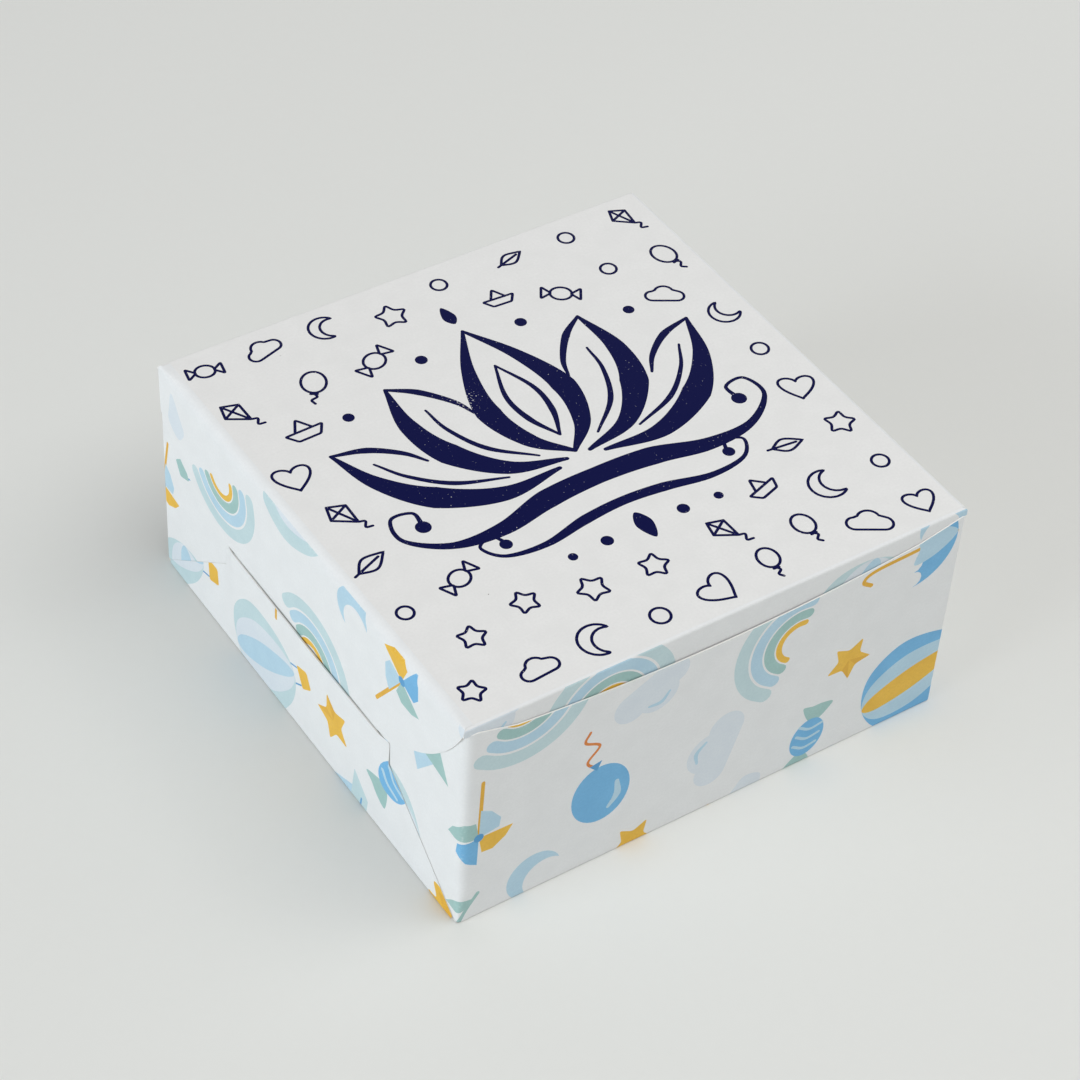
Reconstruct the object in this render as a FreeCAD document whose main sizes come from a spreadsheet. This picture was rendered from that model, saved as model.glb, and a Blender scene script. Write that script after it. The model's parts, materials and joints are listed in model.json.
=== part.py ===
import FreeCAD, Part
import os
import Sketcher

# A square sweet box folded from one creased sheet of boxboard. Each panel between creases is one body.
# Millimetres, +Z up, the front wall towards -Y. The origin is under the middle of the base, on the table.

SIZES = {
    # The closed box, outside
    "width": 150.0,
    "depth": 150.0,
    "height": 70.0,
    # The board and its creases
    "board": 0.4,
    "bead_share": 0.9,
    "crease_gap": 0.1,
    "fold_room": 0.6,
    "slip": 0.12,
    # Side flaps that rise from the base
    "base_flap_height": 34.0,
    "base_flap_margin": 34.0,
    "base_flap_shoulder": 8.0,
    "base_flap_radius": 1.5,
    # Side flaps that hang from the lid, round at the front and ending in a tongue
    "cheek_inset": 22.0,
    "cheek_drop": 26.5,
    "cheek_inset_share": 0.32,
    "cheek_drop_share": 0.55,
    "back_edge": 15.4,
    "back_inset_share": 0.4,
    "back_drop_share": 0.6,
    "tongue_depth": 10.0,
    "tongue_radius": 6.0,
    # Flap along the lid's front edge
    "tuck_depth": 15.0,
    "tuck_side_gap": 4.0,
    "tuck_radius": 14.0,
    # Front and back walls. The front wall's top edge slants down to a kink at each end, and dips between them.
    "wall_top_gap": 1.9,
    "kink_inset": 14.0,
    "kink_drop": 3.2,
    "dip": 6.9,
    # Flaps that turn the corners, behind the side flaps
    "corner_length": 46.0,
    "corner_gap": 0.5,
    "corner_radius": 6.0,
}

# Points closer than this are the same point
SAME = 1e-4

# Places that several panels share, as expressions of the sheet
MID = "(sizes.board / 2)"
BEAD = f"({MID} * sizes.bead_share)"
SIDE = f"(sizes.width / 2 - {MID})"
FRONT = f"(sizes.depth / 2 - {MID})"
TOP = f"(sizes.height - {MID})"
# A panel that unfolds outwards starts close to its crease, and one that folds inwards further off
CREASE = f"({MID} + sizes.crease_gap)"
FOLD = f"({MID} + sizes.fold_room)"
# The lid is shorter than the base by one board, so that its tuck flap goes inside the front wall
LID_FRONT = f"({FRONT} - sizes.board)"
# The tuck flap lies along a chord of the lid's swing, so that it leaves the box without rubbing on the front wall
TUCK_LEAN = f"asin(sizes.tuck_depth / (2 * ({FRONT} + {LID_FRONT})))"
# The side slit lies between the base's flap and the lid's flap
SLIT = "(sizes.depth / 2 - sizes.base_flap_margin)"
SLIT_DROP = f"({TOP} - sizes.base_flap_height)"
# The lid's flaps lean in, so that their tongues pass behind the base's flaps
LEAN = f"((sizes.board + sizes.slip) / {SLIT_DROP})"
TONGUE_DROP = f"({SLIT_DROP} + sizes.tongue_depth)"
FLAP_END = f"({FRONT} - {MID} - sizes.slip)"
# The walls are narrower than the base, and their corner flaps lean in behind the lid's flaps
WALL_SIDE = f"({SIDE} - sizes.board - sizes.slip - {LEAN} * sizes.back_edge)"
WALL_RISE = f"({TOP} - {MID} - sizes.wall_top_gap)"
KINK = f"({WALL_SIDE} - sizes.kink_inset)"
CORNER_LEAN = f"({LEAN} * ({TONGUE_DROP} - sizes.back_edge) / sizes.base_flap_margin)"
CORNER_LOW = f"({MID} + sizes.corner_gap)"
CORNER_HIGH = f"({WALL_RISE} - sizes.corner_gap)"
# The far upper corner of a corner flap swings under the lid when its wall is folded down
CORNER_FAR = f"sqrt(pow({CORNER_HIGH}; 2) - pow(sizes.corner_length; 2))"

doc = FreeCAD.newDocument("sweet_box")
sheet = doc.addObject("Spreadsheet::Sheet", "sizes")
for row, (name, size) in enumerate(SIZES.items(), start=1):
    sheet.set(f"A{row}", name)
    sheet.set(f"B{row}", str(size))
    sheet.setAlias(f"B{row}", name)
doc.recompute()


def value(expression):
    """The number that an expression of the sheet gives."""
    return float(sheet.evalExpression(expression))


def vector(point):
    """The place that the first two expressions of a point give."""
    return FreeCAD.Vector(value(point[0]), value(point[1]), 0)


def new_body(label, place, turn):
    """A panel's body: its origin at place, three expressions, turned by yaw, pitch and roll."""
    body = doc.addObject("PartDesign::Body", label)
    body.Label = label
    body.setExpression("Placement", f"placement(vector({'; '.join(place)}); rotation({'; '.join(turn)}))")
    return body


def new_sketch(body, name, role, lift="0"):
    """An empty sketch on one of the body's origin planes, lifted off it along its normal."""
    sketch = body.newObject("Sketcher::SketchObject", f"{body.Label}_{name}")
    plane = next(feature for feature in body.Origin.OriginFeatures if feature.Role == role)
    sketch.AttachmentSupport = [(plane, "")]
    sketch.MapMode = "FlatFace"
    sketch.setExpression(".AttachmentOffset.Base.z", lift)
    return sketch


def bind(sketch, constraint, name, expression):
    """Adds a constraint with a size, and ties that size to an expression."""
    row = sketch.addConstraint(Sketcher.Constraint(*constraint, value(expression)))
    sketch.renameConstraint(row, name)
    sketch.setExpression(f"Constraints.{name}", expression)


def pin(sketch, geometry, end, place, name):
    """Holds one point of a sketch at two expressions, measured from the sketch's origin."""
    bind(sketch, ("DistanceX", -1, 1, geometry, end), f"{name}_across", place[0])
    bind(sketch, ("DistanceY", -1, 1, geometry, end), f"{name}_along", place[1])


def draw_outline(sketch, points):
    """Closes an outline through points of two expressions each. A third entry, via, bends that stretch."""
    corners = [point for point in points if len(point) == 2]
    after = [following if len(following) == 3 else None for following in points[1:] + points[:1]]
    bends = [via for point, via in zip(points, after) if len(point) == 2]
    ends = []
    for index, (start, via) in enumerate(zip(corners, bends)):
        finish = corners[(index + 1) % len(corners)]
        first, last = vector(start), vector(finish)
        forward = True
        if via:
            bend = vector(via)
            forward = (bend - first).cross(last - first).z > 0
            arc = Part.Arc(first, bend, last) if forward else Part.Arc(last, bend, first)
            geometry = sketch.addGeometry(arc)
            mark = sketch.addGeometry(Part.Point(bend), True)
            pin(sketch, mark, 1, via, f"via{index}")
            sketch.addConstraint(Sketcher.Constraint("PointOnObject", mark, 1, geometry))
        else:
            geometry = sketch.addGeometry(Part.LineSegment(first, last))
        ends.append((geometry, 1, 2) if forward else (geometry, 2, 1))
        pin(sketch, geometry, ends[-1][1], start, f"corner{index}")
    for before, this in zip(ends[-1:] + ends[:-1], ends):
        sketch.addConstraint(Sketcher.Constraint("Coincident", before[0], before[2], this[0], this[1]))


def pad(body, sketch, name, length):
    """Thickens a sketch to both sides alike."""
    feature = body.newObject("PartDesign::Pad", f"{body.Label}_{name}")
    feature.Profile = sketch
    feature.SideType = "Symmetric"
    feature.setExpression("Length", length)
    doc.recompute()


def add_plate(body, points):
    """The flat board of a panel, on the body's XY plane."""
    sketch = new_sketch(body, "outline", "XY_Plane")
    draw_outline(sketch, points)
    pad(body, sketch, "plate", "sizes.board")


def add_beads(body, name, role, places, length, lift="0"):
    """The rounded outsides of creases: rods on the axes that the next panels turn about."""
    for index, across in enumerate(places):
        sketch = new_sketch(body, f"{name}_crease{index}", role, lift)
        centre = (across, "0")
        circle = sketch.addGeometry(Part.Circle(vector(centre), FreeCAD.Vector(0, 0, 1), value(BEAD)))
        pin(sketch, circle, 3, centre, "centre")
        bind(sketch, ("Radius", circle), "bead", BEAD)
        pad(body, sketch, f"{name}_bead{index}", length)


def round_corners(body, places, radius):
    """Rounds the corners of a flat panel that stand at places, each two expressions."""
    solid = body.Tip
    wanted = [vector(place) for place in places]
    names = []
    for index, edge in enumerate(solid.Shape.Edges, start=1):
        foot, head = (FreeCAD.Vector(v.X, v.Y, 0) for v in (edge.Vertexes[0], edge.Vertexes[-1]))
        if foot.isEqual(head, SAME) and any(foot.isEqual(spot, SAME) for spot in wanted):
            names.append(f"Edge{index}")
    fillet = body.newObject("PartDesign::Fillet", f"{body.Label}_corners")
    fillet.Base = (solid, names)
    fillet.setExpression("Radius", radius)
    doc.recompute()


def rectangle(half_width, low, high):
    """The four corners of a panel that is even about its middle."""
    return [(f"-{half_width}", low), (half_width, low), (half_width, high), (f"-{half_width}", high)]


def mirrored(points, sign):
    """The same points, swapped end for end if the sign is a minus."""
    return [(f"{sign}({point[0]})", *point[1:]) for point in points]


def make_base():
    """The bottom of the box, with a crease on each of its four edges."""
    body = new_body("base_panel", ("0", "0", MID), ("0", "0", "0"))
    add_plate(body, rectangle(SIDE, f"-{FRONT}", FRONT))
    add_beads(body, "end", "YZ_Plane", (f"-{FRONT}", FRONT), f"2 * {SIDE}")
    add_beads(body, "side", "XZ_Plane", (f"-{SIDE}", SIDE), f"2 * {FRONT}")


def make_front_wall():
    """The front. Its top edge slants down to a kink near each end, and dips between the kinks."""
    body = new_body("front_wall", ("0", f"-{FRONT}", MID), ("0", "0", "90"))
    foot = rectangle(WALL_SIDE, CREASE, CREASE)[:2]
    kink_height = f"{WALL_RISE} - sizes.kink_drop"
    add_plate(body, [
        *foot,
        (WALL_SIDE, WALL_RISE),
        (KINK, kink_height),
        ("0", f"{WALL_RISE} - sizes.dip", "via"),
        (f"-{KINK}", kink_height),
        (f"-{WALL_SIDE}", WALL_RISE),
    ])
    add_wall_beads(body)


def add_wall_beads(body):
    """The upright creases at both ends of a wall."""
    length, middle = f"{WALL_RISE} - {CREASE}", f"-({WALL_RISE} + {CREASE}) / 2"
    add_beads(body, "upright", "XZ_Plane", (f"-{WALL_SIDE}", WALL_SIDE), length, middle)


def make_back_wall():
    """The back, which carries the lid on the crease along its top."""
    body = new_body("back_wall", ("0", FRONT, MID), ("180", "0", "90"))
    lid_crease = f"({TOP} - {MID})"
    add_plate(body, rectangle(WALL_SIDE, CREASE, lid_crease))
    add_beads(body, "lid", "YZ_Plane", (lid_crease,), f"2 * {WALL_SIDE}")
    add_wall_beads(body)


def make_lid():
    """The top, with creases for the tuck flap and the two side flaps."""
    body = new_body("lid_panel", ("0", FRONT, TOP), ("180", "0", "0"))
    front = f"({FRONT} + {LID_FRONT})"
    add_plate(body, rectangle(SIDE, CREASE, front))
    add_beads(body, "tuck", "YZ_Plane", (front,), f"2 * {SIDE}")
    length, middle = f"{front} - {CREASE}", f"-({front} + {CREASE}) / 2"
    add_beads(body, "side", "XZ_Plane", (f"-{SIDE}", SIDE), length, middle)


def make_tuck_flap():
    """The flap that hangs from the lid's front edge, inside the front wall."""
    body = new_body("tuck_flap", ("0", f"-{LID_FRONT}", TOP), ("180", "0", f"-90 deg - {TUCK_LEAN}"))
    half_width = f"({SIDE} - sizes.tuck_side_gap)"
    outline = rectangle(half_width, FOLD, "sizes.tuck_depth")
    add_plate(body, outline)
    round_corners(body, outline[2:], "sizes.tuck_radius")


def make_lid_flap(side, place, yaw, front):
    """A side flap of the lid: a rounded cheek at the front, a curve at the back and a tongue between."""
    body = new_body(f"lid_{side}_flap", (place, "0", TOP), (yaw, "0", f"-90 deg - atan({LEAN})"))
    tongue = [(SLIT, TONGUE_DROP), (f"-{SLIT}", TONGUE_DROP)]
    cheek_across = f"{FLAP_END} - sizes.cheek_inset * sizes.cheek_inset_share"
    cheek_along = "sizes.cheek_drop * sizes.cheek_drop_share"
    back_across = f"-{FLAP_END} + ({FLAP_END} - {SLIT}) * sizes.back_inset_share"
    back_along = f"sizes.back_edge + ({SLIT_DROP} - sizes.back_edge) * sizes.back_drop_share"
    outline = [
        (FLAP_END, CREASE),
        (cheek_across, cheek_along, "via"),
        (f"{FLAP_END} - sizes.cheek_inset", "sizes.cheek_drop"),
        (SLIT, SLIT_DROP),
        *tongue,
        (f"-{SLIT}", SLIT_DROP),
        (back_across, back_along, "via"),
        (f"-{FLAP_END}", "sizes.back_edge"),
        (f"-{FLAP_END}", CREASE),
    ]
    add_plate(body, mirrored(outline, front))
    round_corners(body, mirrored(tongue, front), "sizes.tongue_radius")


def make_base_flap(side, place, yaw):
    """A side flap of the base: full width at its crease, then slanting in to two shoulders."""
    body = new_body(f"base_{side}_flap", (place, "0", MID), (yaw, "0", "90"))
    high = f"(sizes.base_flap_height - {MID})"
    shoulder = f"{high} - sizes.base_flap_shoulder"
    corners = [(SLIT, high), (f"-{SLIT}", high)]
    foot = rectangle(FRONT, CREASE, CREASE)[:2]
    add_plate(body, [*foot, (SLIT, shoulder), *corners, (f"-{SLIT}", shoulder)])
    round_corners(body, corners, "sizes.base_flap_radius")


def make_corner_flap(name, place, yaw, pitch, up):
    """A flap that turns the corner from the front or back wall and lies inside the side flaps."""
    body = new_body(f"{name}_corner_flap", (*place, MID), (yaw, pitch, "0"))
    far = [(CORNER_FAR, "sizes.corner_length"), (CORNER_LOW, "sizes.corner_length")]
    outline = [(CORNER_LOW, FOLD), (CORNER_HIGH, FOLD), *far]
    add_plate(body, mirrored(outline, up))
    round_corners(body, mirrored(far, up), "sizes.corner_radius")


make_base()
make_front_wall()
make_back_wall()
make_lid()
make_tuck_flap()
make_lid_flap("left", f"-{SIDE}", "90", "-")
make_lid_flap("right", SIDE, "-90", "")
make_base_flap("left", f"-{SIDE}", "-90")
make_base_flap("right", SIDE, "90")
lean = f"atan({CORNER_LEAN})"
make_corner_flap("front_left", (f"-{WALL_SIDE}", f"-{FRONT}"), f"-{lean}", "-90", "")
make_corner_flap("front_right", (WALL_SIDE, f"-{FRONT}"), lean, "90", "-")
make_corner_flap("back_left", (f"-{WALL_SIDE}", FRONT), f"180 deg + {lean}", "90", "-")
make_corner_flap("back_right", (WALL_SIDE, FRONT), f"180 deg - {lean}", "-90", "")
doc.recompute()

failed = [item.Name for item in doc.Objects if {"Invalid", "Error"} & set(item.State)]
if failed:
    raise RuntimeError(f"these objects failed: {failed}")
panels = [item for item in doc.Objects if item.TypeId == "PartDesign::Body"]
for panel in panels:
    if panel.Shape.isNull() or not panel.Shape.isValid() or len(panel.Shape.Solids) != 1:
        raise RuntimeError(f"{panel.Label} is not one good solid")
os.makedirs("parts", exist_ok=True)
for panel in panels:
    panel.Shape.exportStep(f"parts/{panel.Label}.step")
    print(panel.Label, "volume", round(panel.Shape.Volume, 2))
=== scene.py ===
# %% [markdown]
# # A sweet box folded from one printed sheet
# The real box is a single sheet of folding boxboard. It is printed and foil-stamped flat, die-cut, creased
# and then folded by hand. This lesson keeps that order: it draws the print on the flat sheet, cuts the
# panels out of it, and folds each one up to where the packed solids say it belongs.

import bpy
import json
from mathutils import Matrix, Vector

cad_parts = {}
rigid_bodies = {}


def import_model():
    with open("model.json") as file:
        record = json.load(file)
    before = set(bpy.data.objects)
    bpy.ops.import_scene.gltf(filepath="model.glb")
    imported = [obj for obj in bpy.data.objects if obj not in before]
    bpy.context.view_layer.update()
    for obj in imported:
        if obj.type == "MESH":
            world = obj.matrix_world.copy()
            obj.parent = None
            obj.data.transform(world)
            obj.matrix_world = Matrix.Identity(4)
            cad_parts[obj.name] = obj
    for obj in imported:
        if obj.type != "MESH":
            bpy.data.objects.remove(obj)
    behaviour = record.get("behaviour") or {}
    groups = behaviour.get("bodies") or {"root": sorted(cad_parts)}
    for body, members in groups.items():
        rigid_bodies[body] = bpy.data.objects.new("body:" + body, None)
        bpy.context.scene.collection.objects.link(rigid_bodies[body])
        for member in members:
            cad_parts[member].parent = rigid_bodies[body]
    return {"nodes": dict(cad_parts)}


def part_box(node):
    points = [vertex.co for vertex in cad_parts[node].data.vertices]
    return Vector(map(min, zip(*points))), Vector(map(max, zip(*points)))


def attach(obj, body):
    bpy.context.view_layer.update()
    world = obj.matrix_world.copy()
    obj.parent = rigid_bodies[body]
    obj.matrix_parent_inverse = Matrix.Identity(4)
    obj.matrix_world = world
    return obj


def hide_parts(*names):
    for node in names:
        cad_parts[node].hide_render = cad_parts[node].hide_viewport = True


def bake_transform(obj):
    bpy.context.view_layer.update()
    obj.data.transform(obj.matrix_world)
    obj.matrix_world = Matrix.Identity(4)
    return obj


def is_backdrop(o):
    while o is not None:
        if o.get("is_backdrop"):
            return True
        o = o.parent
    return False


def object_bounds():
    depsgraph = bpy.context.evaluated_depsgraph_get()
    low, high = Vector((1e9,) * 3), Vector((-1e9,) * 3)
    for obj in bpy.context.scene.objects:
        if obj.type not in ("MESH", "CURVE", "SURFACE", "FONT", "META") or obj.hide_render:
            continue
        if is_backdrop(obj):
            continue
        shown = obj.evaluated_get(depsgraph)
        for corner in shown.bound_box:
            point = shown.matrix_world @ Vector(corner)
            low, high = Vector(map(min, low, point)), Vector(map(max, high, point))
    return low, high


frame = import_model()
cad_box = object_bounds()
print("solids:", len(frame["nodes"]), "box:", [tuple(round(v, 4) for v in corner) for corner in cad_box])

# %% Bring in the tools
import json
import math
import random

import bpy
import numpy as np
from mathutils import Matrix, Vector
from mathutils.geometry import delaunay_2d_cdt

print("Blender", bpy.app.version_string, "and numpy", np.__version__)

# %% [markdown]
# ## Sizes
# A carton maker works in millimetres, so the lesson does too, and turns them to metres only when a mesh is
# made. The main sizes are read from the packed solids, so that the sheet fits them. The walls are a little
# narrower than the box, so that the side flaps can close outside the corner flaps.

# %% Name the sizes
MM = 0.001


def reach_of(node, axis):
    """How far a packed solid goes along an axis, in mm."""
    return round(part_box(node)[1]["xyz".index(axis)] / MM, 2)


HALF = reach_of("base_right_flap", "x")
HEIGHT = reach_of("lid_panel", "z")
BOARD = reach_of("base_panel", "z")
WALL_TOP = reach_of("front_wall", "z")
WALL_EDGE = 74.5
LID_EDGE = 74.6
LID_LEAN = 0.0145  # how far in a lid flap leans for each mm down
CORNER_LEAN = 0.019  # how far in a corner flap leans for each mm away from its wall
print("half", HALF, "height", HEIGHT, "board", BOARD, "front wall", WALL_TOP, "mm")

# %% [markdown]
# ## Folds
# A creased board never folds to a knife edge: the outside rounds over a millimetre or two. A parabola does
# this with one number. It leaves one face at a distance, the reach, before the corner, and lands on the
# other face at the same distance after it, in line with each, whatever the angle between them. On the left
# the box has been handled: its front upright edge and the lid's edge have gone soft along the middle, and
# stay sharp at the box's corners.

# %% Name the folds' reaches, and work out how long a fold of reach 1 is
foot = 0.5
upright, soft_upright = 1.0, 3.4
lid_side, soft_lid_side = 1.2, 3.2
lid_front = 0.9
hinge = 1.1
FOLD_ROWS = 16
FOLD_SHARE = np.linspace(0, 1, 201)
fold_steps = np.hypot(np.diff((1 - FOLD_SHARE) ** 2), np.diff(FOLD_SHARE ** 2))
FOLD_RUN = np.concatenate([[0], np.cumsum(fold_steps)])
FOLD_LENGTH = FOLD_RUN[-1]
print("a fold is", round(FOLD_LENGTH, 3), "times its reach long")

# %% [markdown]
# ## A panel of the sheet
# Each panel has its own flat coordinates: a runs along its crease and b away from it, over the fold and on
# to the free edge. One method folds such points to their place in the closed box. The same points also have
# a place on the flat printed sheet, which is how one print can run across a fold.

# %% Define a panel


def direction(value, a):
    """A fixed direction, or one that changes along the crease."""
    found = value(a) if callable(value) else value
    return np.broadcast_to(np.asarray(found, float), (len(a), 3))


class Panel:
    """A panel with its crease, its outline and its place on the flat sheet."""

    def __init__(self, name, parent, corner, along, into_parent, into_child, reach, outline, sheet):
        self.name, self.parent = name, parent
        self.corner, self.along = np.array(corner, float), np.array(along, float)
        self.into_parent, self.into_child = into_parent, into_child
        self.reach = reach
        self.fold = reach * FOLD_LENGTH
        self.outline = np.array(outline, float)
        self.sheet_origin, self.sheet_a, self.sheet_b = (np.array(v, float) for v in sheet)
        self.columns, self.rows, self.bend = [], [], np.zeros(3)
        self.softness = np.ones_like
        self.thickness = lambda a, b: np.full_like(a, BOARD)
        a, b = self.outline.mean(0, keepdims=True).T
        self.outward = 1.0
        middle = self.place(a, b)[0] - np.array([0, 0, HEIGHT / 2])
        self.outward = float(np.sign(self.normal(a, b)[0] @ middle))

    def place(self, a, b):
        """Where points of the printed side are in the closed box."""
        back, on = direction(self.into_parent, a), direction(self.into_child, a)
        reach = self.reach * self.softness(a)
        b = b - (self.reach - reach)
        share = np.ones(len(a))
        if self.reach:
            share = np.interp(b / reach, FOLD_RUN, FOLD_SHARE)
        share, reach = share[:, None], reach[:, None]
        curve = self.corner + a[:, None] * self.along + reach * ((1 - share) ** 2 * back + share ** 2 * on)
        before = np.minimum(b, 0)[:, None]
        past = np.maximum(b[:, None] - reach * FOLD_LENGTH, 0)
        return curve - before * back + past * on + past ** 2 * self.bend

    def normal(self, a, b, step=0.01):
        """Which way the printed side faces."""
        across = self.place(a + step, b) - self.place(a - step, b)
        away = self.place(a, b + step) - self.place(a, b)
        found = np.cross(across, away) * self.outward
        return found / np.linalg.norm(found, axis=1, keepdims=True)

    def to_sheet(self, points):
        return self.sheet_origin + points[:, :1] * self.sheet_a + points[:, 1:] * self.sheet_b

    def from_sheet(self, points):
        away = points - self.sheet_origin
        return np.stack([away @ self.sheet_a, away @ self.sheet_b], 1)


print("a panel can tell its", [word for word in vars(Panel) if not word.startswith("_")])

# %% [markdown]
# ## Outlines
# The die cuts straight lines, circular arcs and rounded corners. Three small functions draw those as
# points, and a fourth gives the other half of an even outline.

# %% Draw arcs and rounded corners


def arc(x, y, radius, start, end, count=12):
    turn = np.radians(np.linspace(start, end, count))
    return np.stack([x + radius * np.cos(turn), y + radius * np.sin(turn)], 1)


def arc_through(first, via, last, count=24):
    """Points of the circle that passes through three points, from the first to the last."""
    (x0, y0), (x1, y1), (x2, y2) = first, via, last
    twice = 2 * np.array([[x1 - x0, y1 - y0], [x2 - x0, y2 - y0]])
    squares = np.array([x1 ** 2 - x0 ** 2 + y1 ** 2 - y0 ** 2, x2 ** 2 - x0 ** 2 + y2 ** 2 - y0 ** 2])
    x, y = np.linalg.solve(twice, squares)
    turns = np.unwrap([math.atan2(q - y, p - x) for p, q in (first, via, last)])
    return arc(x, y, math.dist((x, y), first), math.degrees(turns[0]), math.degrees(turns[2]), count)


def rounded(points, reach, count=7):
    """A closed outline with each corner turned into a short curve."""
    points = np.array(points, float)
    reaches = np.broadcast_to(np.asarray(reach, float), len(points))
    made = []
    for before, corner, after, size in zip(np.roll(points, 1, 0), points, np.roll(points, -1, 0), reaches):
        if size <= 0:
            made.append([corner])
            continue
        start = corner + (before - corner) * min(0.5, size / np.linalg.norm(before - corner))
        end = corner + (after - corner) * min(0.5, size / np.linalg.norm(after - corner))
        share = np.linspace(0, 1, count)[:, None]
        made.append((1 - share) ** 2 * start + 2 * share * (1 - share) * corner + share ** 2 * end)
    return np.concatenate(made)


def mirrored(points):
    """The same points on the other side of the middle, in the other order."""
    return [(-a, b) for a, b in points[::-1]]


print("a rounded square has", len(rounded([(0, 0), (9, 0), (9, 9), (0, 9)], 2)), "points")

# %% [markdown]
# ## Base and walls
# The base carries everything. The front wall, the back wall and the two base flaps fold up from its four
# edges. On the flat sheet the front wall stands upright above the base, and the back wall hangs below it.
# The front wall's top edge is cut low, so that fingers find the tuck flap behind it: it slants down from
# each corner to a small kink and crosses the middle in a long shallow curve.

# %% Lay out the base and the walls
KINK = 60.056
KINK_HEIGHT = 64.7
DIP_HEIGHT = 61.0
X, Y, Z = np.eye(3)
RIGHT, UP = np.eye(2)
wall_half, soft_wall_half = WALL_EDGE - upright, WALL_EDGE - soft_upright
base_half = HALF - foot
foot_slack = foot * (2 - FOLD_LENGTH)
foot_rise = foot * (FOLD_LENGTH - 1)
back_length = HEIGHT - hinge + foot_rise


def rectangle(half_width, length):
    return [(-half_width, 0), (half_width, 0), (half_width, length), (-half_width, length)]


low_edge = arc_through((KINK, KINK_HEIGHT), (0, DIP_HEIGHT), (-KINK, KINK_HEIGHT), count=48)
low_edge = np.concatenate([[(wall_half, WALL_TOP)], low_edge, [(-soft_wall_half, WALL_TOP)]])
front_outline = np.concatenate([[(-soft_wall_half, 0), (wall_half, 0)], low_edge + (0, foot_rise)])
panels = [
    Panel("base_panel", None, (0, foot - HALF, 0), X, Y, Y, 0, rectangle(base_half, 2 * base_half),
          ((0, -foot), RIGHT, -UP)),
    Panel("front_wall", "base_panel", (0, -HALF, 0), X, Y, Z, foot, front_outline,
          ((0, -foot), RIGHT, UP)),
    Panel("back_wall", "base_panel", (0, HALF, 0), X, -Y, Z, foot, rectangle(wall_half, back_length),
          ((0, foot - 2 * HALF), RIGHT, -UP)),
]
print("laid out:", [panel.name for panel in panels])

# %% [markdown]
# ## Lid and tuck flap
# The lid hangs on the back wall's top crease. Its front edge carries the tuck flap. Just below the fold the
# flap narrows at two shoulders, and it has two large round corners, so that it finds its way in behind the
# front wall. It bends along the circle that the lid's front edge swings on, which takes it in and out
# without rubbing.

# %% Lay out the lid and the tuck flap
TUCK_HALF = reach_of("tuck_flap", "x")
TUCK_DEPTH = 15.0
TUCK_CORNER = 14.0
TUCK_ROW = 1.5
SHOULDER_DEPTH, SHOULDER_FOOT = 1.5, 1.8
MITRE_GAP = 0.05
lid_half, soft_lid_half = HALF - lid_side, HALF - soft_lid_side
lid_crease = HALF + LID_EDGE - lid_front + hinge * (FOLD_LENGTH - 1)
hinge_fold = hinge * FOLD_LENGTH
tuck_fold = lid_front * FOLD_LENGTH
tuck_length = TUCK_DEPTH + lid_front * (FOLD_LENGTH - 1)


def mitre(reach, other_reach, other_edge):
    """How the end of one fold runs, so that it meets another fold of the same corner: points of that end."""
    share = np.linspace(0, 1, 9)
    other_share = np.minimum(1, share * math.sqrt(reach / other_reach))
    return np.stack([other_edge - MITRE_GAP - other_reach * (1 - other_share) ** 2,
                     reach * np.interp(share, FOLD_SHARE, FOLD_RUN)], 1)


hinge_end = (0, hinge_fold) + mitre(hinge, lid_side, HALF) * (1, -1)
crease_ends = [(-wall_half, 0), (wall_half, 0)]
lid_corners = [(lid_half, hinge_fold), (lid_half, lid_crease),
               (-soft_lid_half, lid_crease), (-soft_lid_half, hinge_fold)]
lid_outline = np.concatenate([crease_ends, hinge_end[::-1], lid_corners, hinge_end * (-1, 1)])
tuck_end = mitre(lid_front, lid_side, HALF)
tuck_right = [*tuck_end, tuck_end[-1] + (0, SHOULDER_DEPTH), (TUCK_HALF, tuck_fold + SHOULDER_FOOT),
              (TUCK_HALF, tuck_length)]
tuck_rounding = [0] * (len(tuck_right) - 1) + [TUCK_CORNER]
tuck_outline = rounded(tuck_right + mirrored(tuck_right), tuck_rounding + tuck_rounding[::-1], count=16)
lid_seam = foot - 2 * HALF - back_length
swing = HALF + LID_EDGE
panels += [
    Panel("lid_panel", "back_wall", (0, HALF, HEIGHT), X, -Z, -Y, hinge, lid_outline,
          ((0, lid_seam), RIGHT, -UP)),
    Panel("tuck_flap", "lid_panel", (0, -LID_EDGE, HEIGHT), X, Y, lid_front / swing * Y - Z, lid_front,
          tuck_outline, ((0, lid_seam - lid_crease), RIGHT, -UP)),
]
panels[-1].bend = Y / (2 * swing)
panels[-1].rows = np.arange(tuck_fold + TUCK_ROW, tuck_length, TUCK_ROW)
print("laid out:", [panel.name for panel in panels[-2:]])

# %% [markdown]
# ## Lid flaps
# On each side the lid's flap comes down, and its tongue slips behind the base's flap. The flap's front end
# is cut to a big curve that lifts a little off the corner flap, and its back end to a flatter one. The
# die's points are written as drops below the lid. Measured from where the fold begins, the board is a
# little longer than its drop, so the outline adds the difference.

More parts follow.
